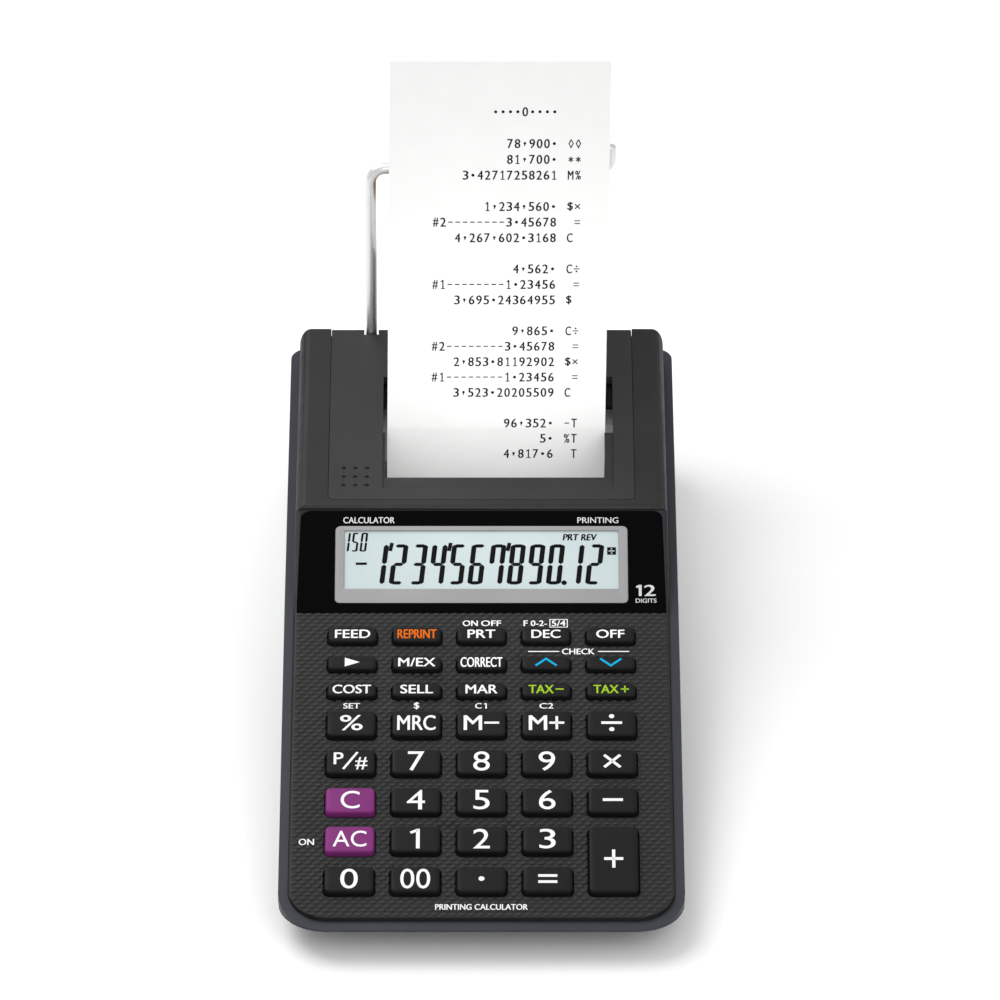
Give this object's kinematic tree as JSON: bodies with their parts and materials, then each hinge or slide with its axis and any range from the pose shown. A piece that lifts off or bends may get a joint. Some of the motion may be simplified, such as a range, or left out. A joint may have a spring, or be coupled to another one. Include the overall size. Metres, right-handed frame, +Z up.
{
  "type": "desk printing calculator",
  "caption": "Desktop printing calculator with a sloped keypad, tilted display, lift-off printer cover and a paper roll on a folding wire arm.",
  "frame": {"origin": "middle of the whole object's box, at the height of the surface it stands on", "axes": "+X to the user's right, +Y from the keypad to the rear, +Z up"},
  "size_m": [0.102, 0.2364, 0.1386],
  "materials": {
    "case_lower": "fine satin",
    "case_upper": "moulded texture",
    "cover": "fine satin",
    "smoked_window": "smoked clear",
    "display_panel": "gloss",
    "lcd": "satin",
    "screws": "satin",
    "feet": "matte",
    "wire": "polished",
    "paper": "smooth thermal paper",
    "jack": "matte",
    "key_mat": "matte",
    "board": "solder mask",
    "cells": "gloss",
    "mechanism": "stamped",
    "platen": "ground",
    "carriage": "matte",
    "type": "matte",
    "ink": "inked felt",
    "keys": "satin",
    "keys_purple": "satin"
  },
  "bodies": {
    "case": {"lower_case": "case_lower", "upper_case": "case_upper", "display_panel": "display_panel", "lcd_module": "lcd", "case_screws": "screws", "rubber_feet": "feet", "dc_jack": "jack", "keypad_rubber": "key_mat", "main_board": "board", "batteries": "cells", "printer_frame": "mechanism", "paper_strip": "paper"},
    "cover": {"printer_cover": "cover", "tear_bar": "smoked_window"},
    "battery_door": {"battery_door": "case_lower"},
    "arm": {"paper_arm": "wire"},
    "roll": {"paper_roll": "paper"},
    "platen": {"platen_roller": "platen"},
    "carriage": {"print_carriage": "carriage"},
    "wheel": {"type_wheel": "type"},
    "inker": {"ink_roller": "ink"},
    "key_feed": {"key_feed": "keys"},
    "key_reprint": {"key_reprint": "keys"},
    "key_print_mode": {"key_print_mode": "keys"},
    "key_decimal_mode": {"key_decimal_mode": "keys"},
    "key_off": {"key_off": "keys"},
    "key_backspace": {"key_backspace": "keys"},
    "key_exchange": {"key_exchange": "keys"},
    "key_correct": {"key_correct": "keys"},
    "key_check_up": {"key_check_up": "keys"},
    "key_check_down": {"key_check_down": "keys"},
    "key_cost": {"key_cost": "keys"},
    "key_sell": {"key_sell": "keys"},
    "key_margin": {"key_margin": "keys"},
    "key_tax_minus": {"key_tax_minus": "keys"},
    "key_tax_plus": {"key_tax_plus": "keys"},
    "key_percent": {"key_percent": "keys"},
    "key_memory_recall": {"key_memory_recall": "keys"},
    "key_memory_minus": {"key_memory_minus": "keys"},
    "key_memory_plus": {"key_memory_plus": "keys"},
    "key_divide": {"key_divide": "keys"},
    "key_paper_number": {"key_paper_number": "keys"},
    "key_7": {"key_7": "keys"},
    "key_8": {"key_8": "keys"},
    "key_9": {"key_9": "keys"},
    "key_multiply": {"key_multiply": "keys"},
    "key_clear": {"key_clear": "keys_purple"},
    "key_4": {"key_4": "keys"},
    "key_5": {"key_5": "keys"},
    "key_6": {"key_6": "keys"},
    "key_minus": {"key_minus": "keys"},
    "key_all_clear": {"key_all_clear": "keys_purple"},
    "key_1": {"key_1": "keys"},
    "key_2": {"key_2": "keys"},
    "key_3": {"key_3": "keys"},
    "key_plus": {"key_plus": "keys"},
    "key_0": {"key_0": "keys"},
    "key_00": {"key_00": "keys"},
    "key_point": {"key_point": "keys"},
    "key_equals": {"key_equals": "keys"}
  },
  "joints": [
    {"name": "arm_fold", "type": "hinge", "parent": "case", "child": "arm", "pos_m": [-0.035, 0.08529, 0.025], "axis": [-1, 0, 0], "range_deg": [0, 70]},
    {"name": "roll_spin", "type": "hinge", "parent": "arm", "child": "roll", "pos_m": [0.0033, 0.09575, 0.08491], "axis": [1, 0, 0], "continuous": true},
    {"name": "cover_lift", "type": "slide", "parent": "case", "child": "cover", "axis": [0, -0.0558, 0.9984], "range_m": [0, 0.015]},
    {"name": "battery_door_slide", "type": "slide", "parent": "case", "child": "battery_door", "axis": [0, -1, 0], "range_m": [0, 0.0075]},
    {"name": "platen_spin", "type": "hinge", "parent": "case", "child": "platen", "pos_m": [0.0037, 0.04912, 0.02059], "axis": [1, 0, 0], "continuous": true},
    {"name": "carriage_slide", "type": "slide", "parent": "case", "child": "carriage", "axis": [1, 0, 0], "range_m": [0, 0.06]},
    {"name": "type_wheel_spin", "type": "hinge", "parent": "carriage", "child": "wheel", "pos_m": [-0.033, 0.03935, 0.02311], "axis": [1, 0, 0], "continuous": true},
    {"name": "ink_roller_spin", "type": "hinge", "parent": "carriage", "child": "inker", "pos_m": [-0.033, 0.03362, 0.02993], "axis": [1, 0, 0], "continuous": true},
    {"name": "key_feed_press", "type": "slide", "parent": "case", "child": "key_feed", "axis": [0, 0.1564, -0.9877], "range_m": [0, 0.0012], "stiffness_N_per_m": 300, "springref_m": -0.001},
    {"name": "key_reprint_press", "type": "slide", "parent": "case", "child": "key_reprint", "axis": [0, 0.1564, -0.9877], "range_m": [0, 0.0012], "stiffness_N_per_m": 300, "springref_m": -0.001},
    {"name": "key_print_mode_press", "type": "slide", "parent": "case", "child": "key_print_mode", "axis": [0, 0.1564, -0.9877], "range_m": [0, 0.0012], "stiffness_N_per_m": 300, "springref_m": -0.001},
    {"name": "key_decimal_mode_press", "type": "slide", "parent": "case", "child": "key_decimal_mode", "axis": [0, 0.1564, -0.9877], "range_m": [0, 0.0012], "stiffness_N_per_m": 300, "springref_m": -0.001},
    {"name": "key_off_press", "type": "slide", "parent": "case", "child": "key_off", "axis": [0, 0.1564, -0.9877], "range_m": [0, 0.0012], "stiffness_N_per_m": 300, "springref_m": -0.001},
    {"name": "key_backspace_press", "type": "slide", "parent": "case", "child": "key_backspace", "axis": [0, 0.1564, -0.9877], "range_m": [0, 0.0012], "stiffness_N_per_m": 300, "springref_m": -0.001},
    {"name": "key_exchange_press", "type": "slide", "parent": "case", "child": "key_exchange", "axis": [0, 0.1564, -0.9877], "range_m": [0, 0.0012], "stiffness_N_per_m": 300, "springref_m": -0.001},
    {"name": "key_correct_press", "type": "slide", "parent": "case", "child": "key_correct", "axis": [0, 0.1564, -0.9877], "range_m": [0, 0.0012], "stiffness_N_per_m": 300, "springref_m": -0.001},
    {"name": "key_check_up_press", "type": "slide", "parent": "case", "child": "key_check_up", "axis": [0, 0.1564, -0.9877], "range_m": [0, 0.0012], "stiffness_N_per_m": 300, "springref_m": -0.001},
    {"name": "key_check_down_press", "type": "slide", "parent": "case", "child": "key_check_down", "axis": [0, 0.1564, -0.9877], "range_m": [0, 0.0012], "stiffness_N_per_m": 300, "springref_m": -0.001},
    {"name": "key_cost_press", "type": "slide", "parent": "case", "child": "key_cost", "axis": [0, 0.1564, -0.9877], "range_m": [0, 0.0012], "stiffness_N_per_m": 300, "springref_m": -0.001},
    {"name": "key_sell_press", "type": "slide", "parent": "case", "child": "key_sell", "axis": [0, 0.1564, -0.9877], "range_m": [0, 0.0012], "stiffness_N_per_m": 300, "springref_m": -0.001},
    {"name": "key_margin_press", "type": "slide", "parent": "case", "child": "key_margin", "axis": [0, 0.1564, -0.9877], "range_m": [0, 0.0012], "stiffness_N_per_m": 300, "springref_m": -0.001},
    {"name": "key_tax_minus_press", "type": "slide", "parent": "case", "child": "key_tax_minus", "axis": [0, 0.1564, -0.9877], "range_m": [0, 0.0012], "stiffness_N_per_m": 300, "springref_m": -0.001},
    {"name": "key_tax_plus_press", "type": "slide", "parent": "case", "child": "key_tax_plus", "axis": [0, 0.1564, -0.9877], "range_m": [0, 0.0012], "stiffness_N_per_m": 300, "springref_m": -0.001},
    {"name": "key_percent_press", "type": "slide", "parent": "case", "child": "key_percent", "axis": [0, 0.1564, -0.9877], "range_m": [0, 0.0012], "stiffness_N_per_m": 300, "springref_m": -0.001},
    {"name": "key_memory_recall_press", "type": "slide", "parent": "case", "child": "key_memory_recall", "axis": [0, 0.1564, -0.9877], "range_m": [0, 0.0012], "stiffness_N_per_m": 300, "springref_m": -0.001},
    {"name": "key_memory_minus_press", "type": "slide", "parent": "case", "child": "key_memory_minus", "axis": [0, 0.1564, -0.9877], "range_m": [0, 0.0012], "stiffness_N_per_m": 300, "springref_m": -0.001},
    {"name": "key_memory_plus_press", "type": "slide", "parent": "case", "child": "key_memory_plus", "axis": [0, 0.1564, -0.9877], "range_m": [0, 0.0012], "stiffness_N_per_m": 300, "springref_m": -0.001},
    {"name": "key_divide_press", "type": "slide", "parent": "case", "child": "key_divide", "axis": [0, 0.1564, -0.9877], "range_m": [0, 0.0012], "stiffness_N_per_m": 300, "springref_m": -0.001},
    {"name": "key_paper_number_press", "type": "slide", "parent": "case", "child": "key_paper_number", "axis": [0, 0.1564, -0.9877], "range_m": [0, 0.0012], "stiffness_N_per_m": 300, "springref_m": -0.001},
    {"name": "key_7_press", "type": "slide", "parent": "case", "child": "key_7", "axis": [0, 0.1564, -0.9877], "range_m": [0, 0.0012], "stiffness_N_per_m": 300, "springref_m": -0.001},
    {"name": "key_8_press", "type": "slide", "parent": "case", "child": "key_8", "axis": [0, 0.1564, -0.9877], "range_m": [0, 0.0012], "stiffness_N_per_m": 300, "springref_m": -0.001},
    {"name": "key_9_press", "type": "slide", "parent": "case", "child": "key_9", "axis": [0, 0.1564, -0.9877], "range_m": [0, 0.0012], "stiffness_N_per_m": 300, "springref_m": -0.001},
    {"name": "key_multiply_press", "type": "slide", "parent": "case", "child": "key_multiply", "axis": [0, 0.1564, -0.9877], "range_m": [0, 0.0012], "stiffness_N_per_m": 300, "springref_m": -0.001},
    {"name": "key_clear_press", "type": "slide", "parent": "case", "child": "key_clear", "axis": [0, 0.1564, -0.9877], "range_m": [0, 0.0012], "stiffness_N_per_m": 300, "springref_m": -0.001},
    {"name": "key_4_press", "type": "slide", "parent": "case", "child": "key_4", "axis": [0, 0.1564, -0.9877], "range_m": [0, 0.0012], "stiffness_N_per_m": 300, "springref_m": -0.001},
    {"name": "key_5_press", "type": "slide", "parent": "case", "child": "key_5", "axis": [0, 0.1564, -0.9877], "range_m": [0, 0.0012], "stiffness_N_per_m": 300, "springref_m": -0.001},
    {"name": "key_6_press", "type": "slide", "parent": "case", "child": "key_6", "axis": [0, 0.1564, -0.9877], "range_m": [0, 0.0012], "stiffness_N_per_m": 300, "springref_m": -0.001},
    {"name": "key_minus_press", "type": "slide", "parent": "case", "child": "key_minus", "axis": [0, 0.1564, -0.9877], "range_m": [0, 0.0012], "stiffness_N_per_m": 300, "springref_m": -0.001},
    {"name": "key_all_clear_press", "type": "slide", "parent": "case", "child": "key_all_clear", "axis": [0, 0.1564, -0.9877], "range_m": [0, 0.0012], "stiffness_N_per_m": 300, "springref_m": -0.001},
    {"name": "key_1_press", "type": "slide", "parent": "case", "child": "key_1", "axis": [0, 0.1564, -0.9877], "range_m": [0, 0.0012], "stiffness_N_per_m": 300, "springref_m": -0.001},
    {"name": "key_2_press", "type": "slide", "parent": "case", "child": "key_2", "axis": [0, 0.1564, -0.9877], "range_m": [0, 0.0012], "stiffness_N_per_m": 300, "springref_m": -0.001},
    {"name": "key_3_press", "type": "slide", "parent": "case", "child": "key_3", "axis": [0, 0.1564, -0.9877], "range_m": [0, 0.0012], "stiffness_N_per_m": 300, "springref_m": -0.001},
    {"name": "key_plus_press", "type": "slide", "parent": "case", "child": "key_plus", "axis": [0, 0.1564, -0.9877], "range_m": [0, 0.0012], "stiffness_N_per_m": 300, "springref_m": -0.001},
    {"name": "key_0_press", "type": "slide", "parent": "case", "child": "key_0", "axis": [0, 0.1564, -0.9877], "range_m": [0, 0.0012], "stiffness_N_per_m": 300, "springref_m": -0.001},
    {"name": "key_00_press", "type": "slide", "parent": "case", "child": "key_00", "axis": [0, 0.1564, -0.9877], "range_m": [0, 0.0012], "stiffness_N_per_m": 300, "springref_m": -0.001},
    {"name": "key_point_press", "type": "slide", "parent": "case", "child": "key_point", "axis": [0, 0.1564, -0.9877], "range_m": [0, 0.0012], "stiffness_N_per_m": 300, "springref_m": -0.001},
    {"name": "key_equals_press", "type": "slide", "parent": "case", "child": "key_equals", "axis": [0, 0.1564, -0.9877], "range_m": [0, 0.0012], "stiffness_N_per_m": 300, "springref_m": -0.001}
  ],
  "couplings": [
    {"joint": "ink_roller_spin", "follows": "type_wheel_spin", "ratio": -0.88889}
  ]
}
